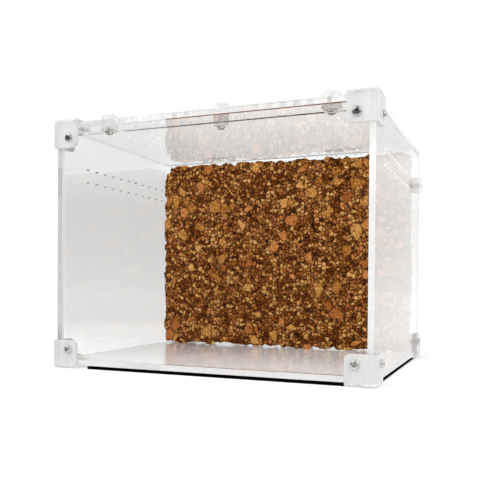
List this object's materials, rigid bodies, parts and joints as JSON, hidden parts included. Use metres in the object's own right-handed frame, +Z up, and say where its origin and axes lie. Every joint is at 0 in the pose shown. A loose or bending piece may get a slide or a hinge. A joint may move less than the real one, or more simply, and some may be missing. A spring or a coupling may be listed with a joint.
{
  "type": "ant habitat",
  "caption": "Clear acrylic box habitat for ants and other insects, held by corner brackets, with a hinged vented lid, turn buttons and a cork back wall.",
  "frame": {"origin": "middle of the footprint, on the surface that the bottom brackets stand on", "axes": "+X to the right, +Y to the back (the front panel faces -Y), +Z up"},
  "size_m": [0.3122, 0.2504, 0.2449],
  "materials": {
    "clear_acrylic": "clear, polished faces and sawn edges",
    "frosted_print": "translucent whitish printed plastic with fine upright layer lines",
    "knob_plastic": "clear, slightly hazy plastic, of the knobs, the washers and the hinges with their nylon screws",
    "steel": "stainless, satin",
    "cork": "pressed cork granulate, coarse and open"
  },
  "bodies": {
    "case": {"floor_panel": "clear_acrylic", "left_panel": "clear_acrylic", "right_panel": "clear_acrylic", "front_panel": "clear_acrylic", "back_panel": "clear_acrylic", "front_rail": "clear_acrylic", "rear_rail": "clear_acrylic", "bracket_front_left_bottom": "frosted_print", "bracket_front_left_top": "frosted_print", "bracket_front_right_bottom": "frosted_print", "bracket_front_right_top": "frosted_print", "bracket_rear_left_bottom": "frosted_print", "bracket_rear_right_bottom": "frosted_print", "flange_screws": "steel", "base_screws": "steel", "bracket_nuts": "steel", "rail_leaf_screws": "knob_plastic", "cork_wall": "cork", "left_stop_screw": "steel", "left_stop_disc": "knob_plastic", "left_rail_leaf": "knob_plastic", "left_hinge_pin": "knob_plastic", "right_stop_screw": "steel", "right_stop_disc": "knob_plastic", "right_rail_leaf": "knob_plastic", "right_hinge_pin": "knob_plastic"},
    "lid": {"lid_panel": "clear_acrylic", "left_lid_leaf": "knob_plastic", "right_lid_leaf": "knob_plastic", "lid_knob": "knob_plastic", "lid_knob_washer": "knob_plastic", "lid_leaf_screws": "knob_plastic", "lid_knob_screw": "steel"},
    "left_button": {"left_button_knob": "knob_plastic", "left_button_washer": "knob_plastic", "left_button_screw": "steel"},
    "right_button": {"right_button_knob": "knob_plastic", "right_button_washer": "knob_plastic", "right_button_screw": "steel"},
    "left_stop": {"left_stop_knob": "knob_plastic"},
    "right_stop": {"right_stop_knob": "knob_plastic"}
  },
  "joints": [
    {"name": "lid_hinge", "type": "hinge", "parent": "case", "child": "lid", "pos_m": [0, 0.0757, 0.2313], "axis": [-1, 0, 0], "range_deg": [0, 180]},
    {"name": "left_button_turn", "type": "hinge", "parent": "case", "child": "left_button", "pos_m": [-0.1085, -0.0965, 0.228], "axis": [0, 0, 1], "range_deg": [0, 180]},
    {"name": "right_button_turn", "type": "hinge", "parent": "case", "child": "right_button", "pos_m": [0.1085, -0.0965, 0.228], "axis": [0, 0, -1], "range_deg": [0, 180]},
    {"name": "left_stop_turn", "type": "hinge", "parent": "case", "child": "left_stop", "pos_m": [-0.15, 0.0949, 0.188], "axis": [-1, 0, 0], "continuous": true},
    {"name": "right_stop_turn", "type": "hinge", "parent": "case", "child": "right_stop", "pos_m": [0.15, 0.0949, 0.188], "axis": [1, 0, 0], "continuous": true}
  ]
}
